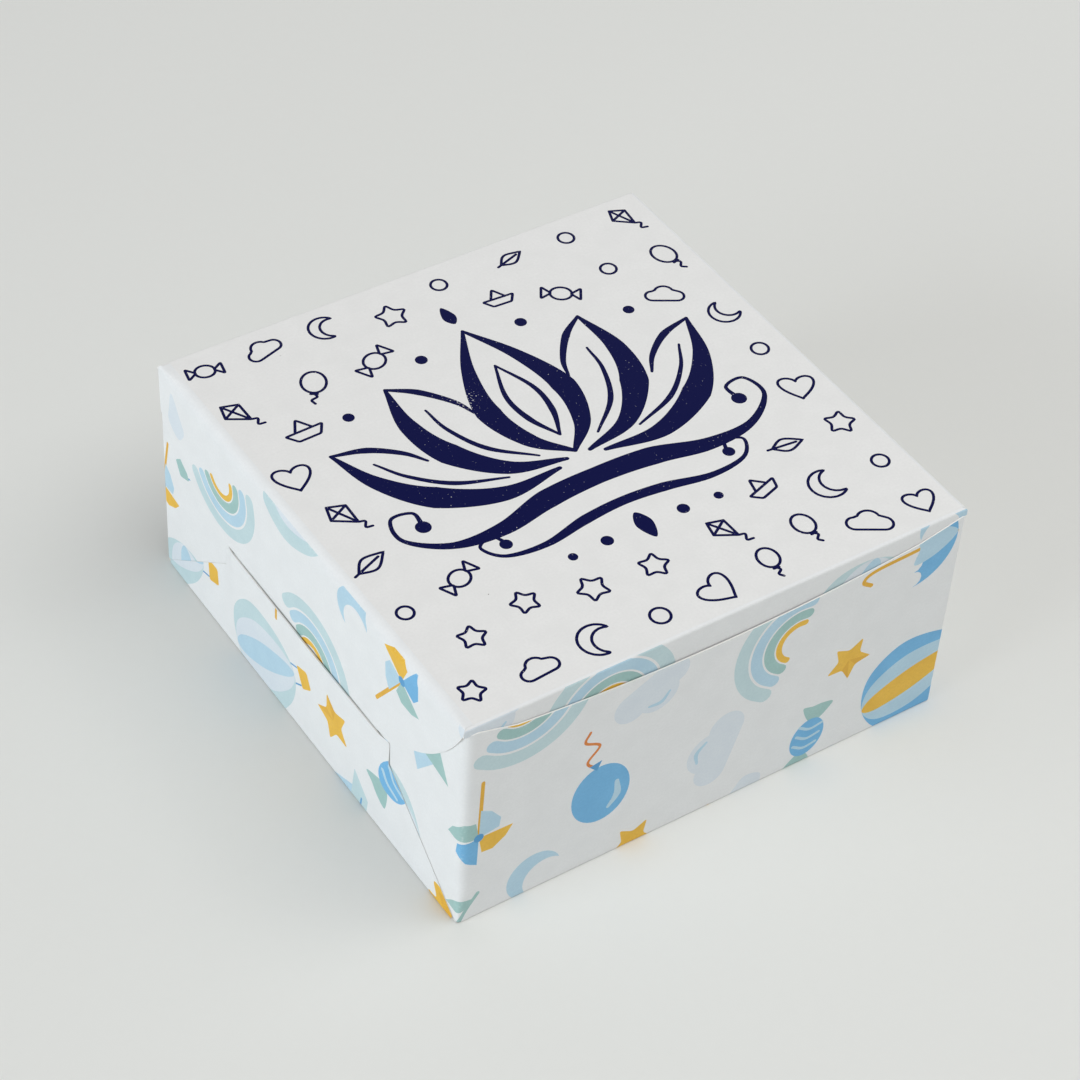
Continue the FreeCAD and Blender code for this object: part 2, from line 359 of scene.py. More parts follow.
# %% Cut the lid flaps
LID_FLAP_HALF = reach_of("lid_left_flap", "y")
SLIT_HALF = 41.0
SLIT_DROP, SLIT_FRONT_DROP = 35.8, 35.6
SLIT_ROUND = 1.5
TONGUE_HALF = 36.0
TONGUE_DROP = 45.8
TONGUE_ROUND = 6.0
FRONT_DROP = 1.4
FRONT_VIA, FRONT_END = (-68.9, 11.3), (-53.8, 26.3)
BACK_VIA = (61.09, 27.64)
BACK_DROP = 15.4
LIFT_LEAN = 0.01
LIFT_START, LIFT_RUN = 45.0, 13.0
SOFT_RUN = 14.0
front_curve = arc_through((MITRE_GAP - LID_EDGE, FRONT_DROP), FRONT_VIA, FRONT_END)
back_curve = arc_through((SLIT_HALF, SLIT_DROP), BACK_VIA, (LID_FLAP_HALF, BACK_DROP))
tongue_end = [(TONGUE_HALF, TONGUE_DROP), (TONGUE_HALF, SLIT_DROP)]
tongue = rounded([FRONT_END, (-SLIT_HALF, SLIT_FRONT_DROP), *mirrored(tongue_end), *tongue_end,
                  (SLIT_HALF, SLIT_DROP)], [0, SLIT_ROUND, 0, TONGUE_ROUND, TONGUE_ROUND, 0, 0])


def smooth_step(value):
    share = np.clip(value, 0, 1)
    return share * share * (3 - 2 * share)


def soft_middle(tight_share, distance):
    """How a soft fold tightens towards a corner: a share of its reach, from the distance to that corner."""
    return lambda a: tight_share + (1 - tight_share) * smooth_step(distance(a) / SOFT_RUN)


def lid_flap_outline(reach, softness):
    """The lid flap's outline: drops turned into lengths of board, with fold ends that meet other folds."""
    start = np.array([0, reach - lid_side])
    front = mitre(lid_side, lid_front, LID_EDGE) * (-1, 1)
    behind = np.minimum(mitre(lid_side, hinge, HALF), (LID_FLAP_HALF, HALF))[::-1]
    free = np.concatenate([front_curve, tongue[1:-1], back_curve])
    free[:, 1] += reach - (2 - FOLD_LENGTH) * reach * softness(free[:, 0])
    return np.concatenate([front[:1], front + start, free, behind + start, behind[-1:]])


def lid_flap_lean(side):
    """The downward direction of a lid flap, whose curved front end lifts a little off the corner flap."""
    def leaning(a):
        lean = LID_LEAN - LIFT_LEAN * smooth_step((-a - LIFT_START) / LIFT_RUN)
        return np.stack([-side * lean, 0 * a, 0 * a - 1], 1)
    return leaning


print("a tongue goes", round(TONGUE_DROP - SLIT_DROP, 1), "mm in behind the base flap")

# %% [markdown]
# ## Base flaps
# The base's flap comes up outside the tongue and bulges a little at the slit. Its ends slant, so the corner
# flap shows beyond them. Nothing holds these ends out, so they lean in and lie on the corner flaps.

# %% Cut the base flaps
BASE_FLAP_HALF = 72.8
BASE_FLAP_TOP = reach_of("base_left_flap", "z")
BASE_SHOULDER = 26.0
SHOULDER_ROUND = 1.0
WING_START, WING_FULL = 36.0, 43.0
WING_FOOT = 1.0
SLIT_BULGE = 0.006
PRESSED_BOARD = 0.15
PRESSED_GAP = 0.05
PRESSED_RUN = 4.0
wing = [(BASE_FLAP_HALF, 0), (BASE_FLAP_HALF, foot_rise + WING_FOOT),
        (SLIT_HALF, foot_rise + BASE_SHOULDER), (SLIT_HALF, foot_rise + BASE_FLAP_TOP)]
wing_rounding = [0, 0, SHOULDER_ROUND, SLIT_ROUND]
base_flap_outline = rounded(mirrored(wing[:1]) + wing + mirrored(wing[1:]),
                            wing_rounding[:1] + wing_rounding + wing_rounding[:0:-1])


def wing_edge(a):
    """How high a base flap's slanted end is."""
    slope = (BASE_SHOULDER - WING_FOOT) / (BASE_FLAP_HALF - SLIT_HALF)
    return WING_FOOT + (BASE_FLAP_HALF - np.abs(a)) * slope


def wing_lean(side):
    """The upward direction of a base flap: out a little at the slit, and in at its two ends."""
    def leaning(a):
        room = HALF - WALL_EDGE + CORNER_LEAN * (HALF - np.abs(a)) - PRESSED_BOARD - PRESSED_GAP
        inward = room / wing_edge(a) * smooth_step((np.abs(a) - WING_START) / (WING_FULL - WING_START))
        bulge = SLIT_BULGE * np.clip(1 - (a / WING_START) ** 2, 0, 1)
        return np.stack([side * (bulge - inward), 0 * a, 0 * a + 1], 1)
    return leaning


def wing_thickness(a, b):
    """A base flap's board, which the die pressed thin along the slanted ends."""
    on_wing = smooth_step((np.abs(a) - WING_START) / (SLIT_HALF - WING_START))
    near_edge = 1 - smooth_step((wing_edge(a) + foot_rise - b) / PRESSED_RUN)
    return BOARD - (BOARD - PRESSED_BOARD) * on_wing * near_edge


print("a base flap has", len(base_flap_outline), "points")

# %% Lay out the side flaps
SOFT_LEAD = 1.0
SOFT_COLUMNS = 9
WING_LEAD, WING_COLUMN = 2.0, 1.5
MIDDLE_COLUMN = 6.0
FIRST_ROW, ROW = 3.0, 2.0
lid_middle = lid_seam - hinge * (FOLD_LENGTH - 1) - HALF
soft_columns = np.linspace(HALF - SOFT_RUN, HALF - SOFT_LEAD, SOFT_COLUMNS)
wing_columns = np.concatenate([np.linspace(WING_START, WING_FULL, SOFT_COLUMNS),
                               np.arange(WING_FULL + WING_LEAD, BASE_FLAP_HALF, WING_COLUMN)])
middle_columns = np.arange(-5, 6) * MIDDLE_COLUMN
for side, word in ((-1, "left"), (1, "right")):
    reach = soft_lid_side if side < 0 else lid_side
    softness = soft_middle(lid_side / reach, lambda a: HALF - np.abs(a))
    panels.append(Panel(f"lid_{word}_flap", "lid_panel", (side * HALF, 0, HEIGHT), Y, -side * X,
                        lid_flap_lean(side), reach, lid_flap_outline(reach, softness),
                        ((side * (HALF - reach), lid_middle), UP, side * RIGHT)))
    panels[-1].softness = softness
    panels[-1].columns = np.concatenate([-soft_columns, soft_columns])
    panels.append(Panel(f"base_{word}_flap", "base_panel", (side * HALF, 0, 0), Y, -side * X, wing_lean(side),
                        foot, base_flap_outline, ((side * base_half, -HALF), -UP, side * RIGHT)))
    panels[-1].columns = np.concatenate([wing_columns, middle_columns, -wing_columns])
    panels[-1].rows = np.arange(FIRST_ROW, BASE_FLAP_TOP, ROW)
    panels[-1].thickness = wing_thickness
print("laid out:", len(panels), "panels")

# %% [markdown]
# ## Corner flaps
# Each wall ends in two corner flaps that fold round the upright edges and lie innermost. Their upper
# corners are cut away on a slant, so that they don't catch on the lid. The back ones reach up to the
# hinge's fold and close the box's corner there.

# %% Lay out the corner flaps
CORNER_LENGTH = 46.0
CORNER_LOW = 0.1
CORNER_SLANT = 0.5
CORNER_FAR_HIGH = 50.1
CORNER_ROUND, NECK_ROUND = 6.0, 0.5


def corner_outline(reach, top):
    length = CORNER_LENGTH + reach * (FOLD_LENGTH - 1)
    fold = reach * FOLD_LENGTH
    low = CORNER_LOW + CORNER_SLANT
    points = [(CORNER_LOW, 0), (top, 0), (top - CORNER_SLANT, fold), (CORNER_FAR_HIGH, length),
              (low, length), (low, fold)]
    return rounded(points, [0, 0, NECK_ROUND, CORNER_ROUND, CORNER_ROUND, 0])


for end, place in ((-1, "front"), (1, "back")):
    for side, word in ((-1, "left"), (1, "right")):
        reach = soft_upright if (place, word) == ("front", "left") else upright
        top = WALL_TOP if end < 0 else HEIGHT - hinge - MITRE_GAP
        start = (side * (WALL_EDGE - reach), -foot_slack if end < 0 else -2 * HALF + foot_slack)
        panels.append(Panel(f"{place}_{word}_corner_flap", f"{place}_wall",
                            (side * WALL_EDGE, end * HALF, 0), Z, -side * X,
                            -side * CORNER_LEAN * X - end * Y, reach, corner_outline(reach, top),
                            (start, UP if end < 0 else -UP, side * RIGHT)))
        panels[-1].softness = soft_middle(upright / reach, lambda a: a)
        panels[-1].columns = np.linspace(SOFT_LEAD, SOFT_RUN, SOFT_COLUMNS)
print("laid out:", len(panels), "panels, for", len(frame["nodes"]), "solids")

# %% [markdown]
# ## Colours and nodes
# Printers give colours as sRGB values, and Blender mixes light in linear values, so one function converts
# them. One more function adds a node, sets it up and links it, which keeps each material short enough to
# read.

# %% Convert colours and add nodes
MIX_FACTOR, MIX_A, MIX_B, MIX_RESULT = 0, 6, 7, 2


def linear(hex_colour):
    parts = [int(hex_colour[i:i + 2], 16) / 255 for i in (1, 3, 5)]
    return tuple(c / 12.92 if c <= 0.04045 else ((c + 0.055) / 1.055) ** 2.4 for c in parts) + (1.0,)


def add(tree, kind, inputs=None, **settings):
    node = tree.nodes.new("ShaderNode" + kind)
    for name, value in settings.items():
        setattr(node, name, value)
    for socket, value in (inputs or {}).items():
        if isinstance(value, bpy.types.NodeSocket):
            tree.links.new(value, node.inputs[socket])
        else:
            node.inputs[socket].default_value = value
    return node


def new_material(name):
    made = bpy.data.materials.new(name)
    made.use_nodes = True
    made.node_tree.nodes.clear()
    return made, made.node_tree


print("paper white is", [round(v, 3) for v in linear("#edeff0")])

# %% [markdown]
# ## Coated folding boxboard and offset ink
# The outside of the sheet is clay-coated and calendered, so it is smooth, white and only a little shiny.
# Under the coating the fibres lie in faint clouds a few millimetres wide. Offset ink soaks into that
# coating: it has no thickness of its own, takes the board's sheen, and shows a fine grain. On the folds the
# ink cracks a little. So one function makes the bare board and every ink. Only the colours differ, and the
# lid's board has a few flecks.

# %% Make the board and the inks
CLOUD_SIZE = 7.0
GRAIN_SIZE = 0.7  # ink grain is nearer 0.1 mm, drawn coarser here so that it shows
FLECK_SPACING = 9.0


def coated_boxboard(name, hex_colour, shade_hex, flecks=False):
    made, tree = new_material(name)
    sheet = add(tree, "UVMap", uv_map="flat_sheet").outputs["UV"]
    clouds = add(tree, "TexNoise", {"Vector": sheet, "Scale": 1 / (CLOUD_SIZE * MM), "Detail": 3.0})
    grain = add(tree, "TexNoise", {"Vector": sheet, "Scale": 1 / (GRAIN_SIZE * MM), "Detail": 2.0})
    both = add(tree, "Math", {0: clouds.outputs["Fac"], 1: grain.outputs["Fac"]}, operation="MULTIPLY")
    spread = add(tree, "MapRange", {"Value": both.outputs[0], "From Min": 0.12, "From Max": 0.4})
    tones = {MIX_FACTOR: spread.outputs[0], MIX_A: linear(shade_hex), MIX_B: linear(hex_colour)}
    colour = add(tree, "Mix", tones, data_type="RGBA").outputs[MIX_RESULT]
    fold = add(tree, "Attribute", attribute_name="fold_wear").outputs["Fac"]
    worn = add(tree, "Math", {0: fold, 1: grain.outputs["Fac"]}, operation="MULTIPLY")
    cracks = add(tree, "MapRange", {"Value": worn.outputs[0], "From Min": 0.45, "From Max": 0.65,
                                    "To Max": 0.22})
    cracked = {MIX_FACTOR: cracks.outputs[0], MIX_A: colour, MIX_B: linear("#f1f1ee")}
    colour = add(tree, "Mix", cracked, data_type="RGBA").outputs[MIX_RESULT]
    if flecks:
        cells = add(tree, "TexVoronoi", {"Vector": sheet, "Scale": 1 / (FLECK_SPACING * MM)})
        chance = add(tree, "SeparateColor", {0: cells.outputs["Color"]})
        size = add(tree, "MapRange", {"Value": chance.outputs[0], "From Min": 0.72, "To Max": 0.035})
        fleck = add(tree, "Math", {0: cells.outputs["Distance"], 1: size.outputs[0]}, operation="LESS_THAN")
        faint = add(tree, "Math", {0: fleck.outputs[0], 1: chance.outputs[1]}, operation="MULTIPLY")
        flecked = {MIX_FACTOR: faint.outputs[0], MIX_A: colour, MIX_B: linear("#77736c")}
        colour = add(tree, "Mix", flecked, data_type="RGBA").outputs[MIX_RESULT]
    sheen = add(tree, "MapRange", {"Value": grain.outputs["Fac"], "From Min": 0.3, "From Max": 0.7,
                                   "To Min": 0.46, "To Max": 0.56})
    bump = add(tree, "Bump", {"Height": both.outputs[0], "Strength": 0.25, "Distance": 0.012 * MM})
    shader = add(tree, "BsdfPrincipled", {"Base Color": colour, "Roughness": sheen.outputs[0],
                                          "Normal": bump.outputs[0], "IOR": 1.5, "Specular IOR Level": 0.3})
    add(tree, "OutputMaterial", {"Surface": shader.outputs[0]})
    return made


INK_COLOURS = {
    "sky": ("#7abbe6", "#6fb1de"), "deep_sky": ("#5fa5d6", "#5499cc"), "powder": ("#bcdaea", "#b2d2e4"),
    "haze": ("#dfe7ed", "#d8e1e9"), "mist": ("#c8dee2", "#bfd7dc"), "mint": ("#a7cbc8", "#9cc1be"),
    "gold": ("#f0c24c", "#e6b640"), "ochre": ("#e8b542", "#dda938"), "amber": ("#e08a45", "#d57d38"),
}
board = coated_boxboard("coated_folding_boxboard", "#eceeef", "#e7e9ea")
lid_board = coated_boxboard("coated_folding_boxboard_lid", "#ededec", "#e8e8e7", flecks=True)
inks = {word: coated_boxboard(f"offset_ink_{word}", *pair) for word, pair in INK_COLOURS.items()}
print("inks:", sorted(inks))

# %% [markdown]
# ## The board's back and its cut edges
# The inside is left uncoated: a warmer grey-white with visible fibres and no sheen. Where the die cut
# through, the pressed layers of pulp show as a bright, soft, faintly streaked line.

# %% Make the board's back and its cut edge
FIBRE_WIDTH = 0.35
FIBRE_LENGTH = 3.0
PLY = 0.1


def uncoated_board_back():
    made, tree = new_material("uncoated_board_back")
    sheet = add(tree, "UVMap", uv_map="flat_sheet").outputs["UV"]
    stretch = (1 / (FIBRE_LENGTH * MM), 1 / (FIBRE_WIDTH * MM), 1.0)
    along = add(tree, "Mapping", {"Vector": sheet, "Scale": stretch})
    fibres = add(tree, "TexNoise", {"Vector": along.outputs[0], "Scale": 1.0, "Detail": 4.0,
                                    "Distortion": 0.8})
    tone = add(tree, "MapRange", {"Value": fibres.outputs["Fac"], "From Min": 0.3, "From Max": 0.7})
    tones = {MIX_FACTOR: tone.outputs[0], MIX_A: linear("#d6d3cb"), MIX_B: linear("#e4e1da")}
    colour = add(tree, "Mix", tones, data_type="RGBA").outputs[MIX_RESULT]
    rough = add(tree, "MapRange", {"Value": fibres.outputs["Fac"], "To Min": 0.8, "To Max": 0.95})
    bump = add(tree, "Bump", {"Height": fibres.outputs["Fac"], "Strength": 0.3, "Distance": 0.02 * MM})
    shader = add(tree, "BsdfPrincipled", {"Base Color": colour, "Roughness": rough.outputs[0],
                                          "Normal": bump.outputs[0], "IOR": 1.5, "Specular IOR Level": 0.2})
    add(tree, "OutputMaterial", {"Surface": shader.outputs[0]})
    return made


def die_cut_edge():
    made, tree = new_material("die_cut_board_edge")
    place = add(tree, "TexCoord").outputs["Object"]
    streaks = add(tree, "TexNoise", {"Vector": place, "Scale": 1 / (PLY * MM), "Detail": 3.0})
    tones = {MIX_FACTOR: streaks.outputs["Fac"], MIX_A: linear("#e2e1dd"), MIX_B: linear("#f3f2ef")}
    colour = add(tree, "Mix", tones, data_type="RGBA").outputs[MIX_RESULT]
    rough = add(tree, "MapRange", {"Value": streaks.outputs["Fac"], "To Min": 0.82, "To Max": 0.98})
    shader = add(tree, "BsdfPrincipled", {"Base Color": colour, "Roughness": rough.outputs[0], "IOR": 1.5,
                                          "Specular IOR Level": 0.15})
    add(tree, "OutputMaterial", {"Surface": shader.outputs[0]})
    return made


board_back = uncoated_board_back()
cut_edge = die_cut_edge()
print("board materials:", board_back.name, cut_edge.name)

# %% [markdown]
# ## Shapes for the print
# Printed shapes are closed loops of points. A loop that runs the other way cuts a hole. Lines are ribbons
# with round ends, and a brush stroke is a ribbon whose width changes on the way.

# %% Draw loops, ribbons and brush strokes


def counterclockwise(points):
    points = np.array(points, float)
    x, y = points.T
    area = np.sum(x * np.roll(y, -1) - y * np.roll(x, -1))
    return points if area > 0 else points[::-1]


def spun(points, turn, size=1.0):
    """Points turned about the origin, by an angle in radians, and sized."""
    c, s = size * math.cos(turn), size * math.sin(turn)
    return points @ np.array([[c, s], [-s, c]])


def ellipse(x, y, wide, high=None, count=40):
    angle = np.linspace(0, 2 * np.pi, count, endpoint=False)
    high = wide if high is None else high
    return np.stack([x + wide * np.cos(angle), y + high * np.sin(angle)], 1)


def smooth_path(points, closed=False, steps=8):
    """A smooth curve through the points, which leaves each one in line with its two neighbours."""
    points = np.array(points, float)
    count = len(points)
    before, after = points[-1:], points[:2]
    if not closed:
        before, after = points[:1] * 2 - points[1:2], points[-1:] * 2 - points[-2:-1]
    held = np.concatenate([before, points, after])
    share = np.linspace(0, 1, steps, endpoint=False)[:, None]
    made = []
    for i in range(count if closed else count - 1):
        p, q, r, s = held[i:i + 4]
        made.append(0.5 * (2 * q + (r - p) * share + (2 * p - 5 * q + 4 * r - s) * share ** 2
                           + (3 * q - p - 3 * r + s) * share ** 3))
    if not closed:
        made.append(points[-1:])
    return np.concatenate(made)


def sideways(path, closed):
    """Unit vectors to the left of a path."""
    if closed:
        run = np.roll(path, -1, 0) - np.roll(path, 1, 0)
    else:
        run = np.gradient(path, axis=0)
    run = run / np.linalg.norm(run, axis=1, keepdims=True)
    return np.stack([-run[:, 1], run[:, 0]], 1)


def brush(points, widths, steps=10):
    """An open stroke with round ends, as wide at each point as widths says."""
    path = smooth_path(points, steps=steps)
    at = np.linspace(0, len(points) - 1, len(path))
    half = np.interp(at, range(len(points)), np.broadcast_to(widths, len(points)))[:, None] / 2
    left = sideways(path, False)
    caps = []
    for end, sign in ((0, 1), (-1, -1)):
        start = math.degrees(math.atan2(*(sign * left[end])[::-1]))
        caps.append(arc(*path[end], half[end, 0], start, start + 180, 7)[1:-1])
    sides = path - left * half, (path + left * half)[::-1]
    return [counterclockwise(np.concatenate([caps[0], sides[0], caps[1], sides[1]]))]


print("a brush stroke has", len(brush([(0, 0), (5, 2), (9, 0)], [1, 3, 1])[0]), "points")

# %% [markdown]
# ## Small drawings
# The pastel print is a scatter of plain toys and treats in a few flat tones each, as cut paper would be.
# Each drawing is a list of inks and loops, the lowest first, in millimetres about its own middle.

# %% Draw things that float


def cloud():
    puffs = [ellipse(-7, -0.5, 5), ellipse(0, 2.5, 7), ellipse(8, 0, 5.5)]
    flat_foot = [(-7, -5.5), (8, -5.5), (8, 1), (-7, 1)]
    shine = brush([(-3, 5.5), (0.5, 7), (4, 5.2)], [0.8, 1.4, 0.8])
    return [("haze", [*puffs, flat_foot]), ("powder", shine)]


def party_balloon():
    string = brush([(0, -11), (2.2, -15), (-2, -19), (1.8, -23), (0, -26)], 0.9)
    knot = [(-2, -12.8), (2, -12.8), (0, -9.8)]
    shine = brush([(-5.2, -1), (-4.6, 4), (-1.5, 7.2)], [1.4, 2.4, 1.2])
    return [("amber", string), ("sky", [ellipse(0, 0, 9, 10.8)]), ("deep_sky", [knot]), ("powder", shine)]


def air_balloon(tones=("sky", "powder", "gold", "mint")):
    right = [(0, 22), (13, 17.5), (18, 5), (12.5, -8), (4, -15.5)]
    envelope = smooth_path(right + mirrored(right[1:]), closed=True)
    gore_shares = (1.0, 0.64, 0.26)
    gores = [(ink, [envelope * (share, 1)]) for ink, share in zip(tones, gore_shares)]
    ropes = brush([(-3.4, -15), (-2.8, -21)], 0.6) + brush([(3.4, -15), (2.8, -21)], 0.6)
    basket = rounded([(-4, -20), (4, -20), (3, -26), (-3, -26)], 1)
    return [("deep_sky", ropes), *gores, (tones[3], [basket])]


def pale_air_balloon():
    return air_balloon(("mist", "haze", "powder", "gold"))


def kite():
    top, right, low, left, middle = (0, 13), (9, 3), (0, -13), (-9, 3), (0, 3)
    tail = brush([low, (2.5, -17), (-1.5, -21), (2, -26)], 0.8)
    bow = [(0, -18.5), (3, -16.6), (3, -20.4)]
    panes = (("mist", [top, middle, left]), ("mint", [top, right, middle]), ("mint", [left, middle, low]),
             ("powder", [middle, right, low]))
    return [("amber", tail), ("gold", [mirrored(bow), bow]), *((ink, [pane]) for ink, pane in panes)]


print("layers of floating things:", [len(draw()) for draw in (cloud, party_balloon, air_balloon, kite)])

# %% Draw things of the sky and the garden


def star_points(outer, inner, count=5):
    turn = np.pi / 2 + np.arange(2 * count) * np.pi / count
    radius = np.where(np.arange(2 * count) % 2 == 0, outer, inner)
    return np.stack([radius * np.cos(turn), radius * np.sin(turn)], 1)


def star():
    points = star_points(8.4, 4.1)
    shade = [[(0, 0), points[i], points[i + 1]] for i in (5, 7)]
    return [("gold", [rounded(points, 1.1)]), ("ochre", shade)]


def crescent_points(size):
    outside = arc(0, 0, size, 55, 305, 26)
    inside = arc(size * 0.52, 0, size * 0.82, 270, 90, 18)
    return counterclockwise(np.concatenate([outside, inside]))


def crescent():
    return [("powder", [crescent_points(8.0)])]


def drop():
    body = smooth_path([(0, 9), (3.2, 2.5), (4.6, -2.5), (0, -6.5), (-4.6, -2.5), (-3.2, 2.5)], closed=True)
    return [("haze", [body])]


def rainbow():
    bands = (("mist", 19.0, 4.6), ("powder", 14.0, 3.8), ("mint", 9.8, 3.4), ("gold", 6.6, 2.0))
    return [(ink, brush(arc(0, -9, radius, 8, 172, 11), width, 3)) for ink, radius, width in bands]


def leaf(x, y, turn, length, width):
    side = smooth_path([(0, 0), (length * 0.45, width / 2), (length, 0)])
    whole = np.concatenate([side, (side * (1, -1))[::-1][1:-1]])
    return spun(whole, math.radians(turn)) + (x, y)


def sprig():
    leaves = [leaf(0, -4, 140, 11, 6), leaf(0.4, 1, 30, 11, 6), leaf(0.8, 5, 130, 9, 5)]
    return [("mint", brush([(-1, -13), (0, -3), (1, 7)], [1.1, 0.9, 0.6])), ("mist", leaves),
            ("mint", [leaf(1, 6, 78, 9, 5)])]


def tulip():
    cup = smooth_path([(-6, 10), (-3.2, 7), (0, 11), (3.2, 7), (6, 10), (6, 2), (0, -2), (-6, 2)],
                      closed=True)
    return [("mint", brush([(0, 0), (0.6, -8), (0, -15)], 1.4) + [leaf(0.2, -13, 50, 12, 4.5)]),
            ("gold", [cup]), ("ochre", [leaf(0, -1, 90, 9, 4.2)])]


print("layers of garden things:", [len(draw()) for draw in (star, crescent, drop, rainbow, sprig, tulip)])

# %% Draw toys and treats


def umbrella():
    scallops = [arc(x, 0, 2.7, 180, 0, 7)[1:] for x in (-10.8, -5.4, 0, 5.4, 10.8)]
    canopy = np.concatenate([arc(0, 0, 13.5, 0, 180, 26), *scallops])
    handle = brush([(0, 13), (0, 0), (0, -13), (2, -16.5), (4.6, -14)], 1.3)
    gore = smooth_path([(-5.4, 0), (-4.6, 7.5), (0, 13.5), (4.6, 7.5), (5.4, 0), (0, 1.2)], closed=True)
    return [("ochre", handle), ("sky", [canopy]), ("powder", [gore])]


def paper_boat():
    sail = [(-6.5, 1), (6.5, 1), (0, 12)]
    hull = [(-15, 1), (15, 1), (8.5, -8), (-8.5, -8)]
    bow = [(-15, 1), (0, 1), (-8.5, -8)]
    stripe = brush([(-6, -4.6), (6, -4.6)], 0.8)
    return [("powder", [sail]), ("mist", [hull]), ("mint", [bow]), ("deep_sky", stripe)]


def pinwheel():
    tones = ("sky", "gold", "powder", "mint")
    blade = [(0, 0), (0, 10.5), (3.5, 8.5), (6.5, 4.6), (6.2, 1.2)]
    blades = [(ink, [spun(blade, quarter * math.pi / 2)]) for quarter, ink in enumerate(tones)]
    return [("ochre", brush([(0, 0), (0, -21)], 1.2)), *blades, ("deep_sky", [ellipse(0, 0, 1.5)])]


def wrapped_sweet():
    fan = smooth_path([(6, 0), (13, 6), (14, 2), (13.4, -2), (13, -6)], closed=True)
    ribs = [loop for x in (-4, 0, 4) for loop in brush([(x - 1, 4.6), (x + 0.6, 0), (x - 1, -4.6)], 1.1)]
    return [("mint", [fan, fan * (-1, 1)]), ("sky", [ellipse(0, 0, 8, 6.4)]), ("powder", ribs)]


print("layers of toys:", [len(draw()) for draw in (umbrella, paper_boat, pinwheel, wrapped_sweet)])

# %% [markdown]
# ## Scattering the print
# The drawings are thrown on the flat sheet like darts, the largest first, and one that would touch another
# is thrown again. The seed is fixed, so the same box comes out each time. Nothing lines up with the
# creases, because the sheet is printed before it is cut.

# %% Scatter the drawings over the flat sheet
SHEET_LOW, SHEET_HIGH = (-124.0, -402.0), (124.0, 74.0)
PRINT_SEED = 7
PRINT_GAP = 1.2
PRINT_SIZE_SHARES = (0.82, 1.0)
THROWS = 300
# How many of a group are thrown, and its drawings in turn, each with the radius that it takes up.
GROUPS = (
    (26, ((pale_air_balloon, 25.0), (rainbow, 21.5), (air_balloon, 25.0), (rainbow, 21.5))),
    (96, ((party_balloon, 17.5), (kite, 18.5), (umbrella, 16.0), (pinwheel, 15.5), (paper_boat, 14.5),
          (wrapped_sweet, 14.0), (tulip, 14.0), (sprig, 13.0), (cloud, 13.0))),
    (110, ((drop, 8.0), (star, 8.6), (crescent, 8.4))),
)


def transformed(loops, x, y, turn, size=1.0):
    return [spun(loop, turn, size) + (x, y) for loop in loops]


def scatter():
    dice = random.Random(PRINT_SEED)
    taken, made = [], []
    wanted = [drawings[i % len(drawings)] for count, drawings in GROUPS for i in range(count)]
    for draw, radius in wanted:
        size = dice.uniform(*PRINT_SIZE_SHARES)
        for _ in range(THROWS):
            x, y = (dice.uniform(low, high) for low, high in zip(SHEET_LOW, SHEET_HIGH))
            if all(math.dist((x, y), (p, q)) > r + radius * size + PRINT_GAP for p, q, r in taken):
                taken.append((x, y, radius * size))
                turn = dice.uniform(-math.pi, math.pi)
                made += [(ink, transformed(loops, x, y, turn, size)) for ink, loops in draw()]
                break
    print("drawings on the sheet:", len(taken), "in", len(made), "layers")
    return made


printed = scatter()

# %% [markdown]
# ## From loops to a mesh
# The print could be an image on each panel, but an image blurs close up. Here a constrained triangulation
# takes every outline, fold row and printed edge as a line that must stay. Afterwards each small triangle
# asks which shape its middle lies in. So a printed edge is a real edge of the mesh, sharp at any distance,
# and it follows the board round a fold.

# %% Triangulate, and test which shape a point is in
MERGE = 1e-5


def triangulate(loops, lines):
    points, edges = [], []
    for path, closed in [(loop, True) for loop in loops] + [(line, False) for line in lines]:
        first, count = len(points), len(path)
        points += [Vector(p) for p in path]
        edges += [(first + i, first + (i + 1) % count) for i in range(count if closed else count - 1)]
    found = delaunay_2d_cdt(points, edges, [], 0, MERGE, False)
    return np.array([p[:] for p in found[0]]), np.array(found[2])


def inside(points, loops):
    """True for each point that the loops wind round."""
    turns = np.zeros(len(points), int)
    low, high = np.concatenate(loops).min(0), np.concatenate(loops).max(0)
    near = np.flatnonzero(((points >= low) & (points <= high)).all(1))
    x, y = points[near].T
    for loop in loops:
        for (x0, y0), (x1, y1) in zip(loop, np.roll(loop, -1, 0)):
            left = (x1 - x0) * (y - y0) - (x - x0) * (y1 - y0)
            turns[near] += (y0 <= y) & (y1 > y) & (left > 0)
            turns[near] -= (y0 > y) & (y1 <= y) & (left < 0)
    return turns != 0


square = np.array([(0, 0), (4, 0), (4, 4), (0, 4)], float)
print("in a square:", inside(np.array([(1.0, 1.0), (5.0, 1.0)]), [square]))

# %% [markdown]
# ## From flat triangles to folded board
# The triangles are folded twice, once for the printed side and once, a board thickness in, for the back,
# and a rim of cut edge joins the two. The normals come from the folded surface itself, so the folds shade
# smoothly however the print cuts up the triangles.

# %% Make a panel's mesh
FOLD_LEAD = 0.05


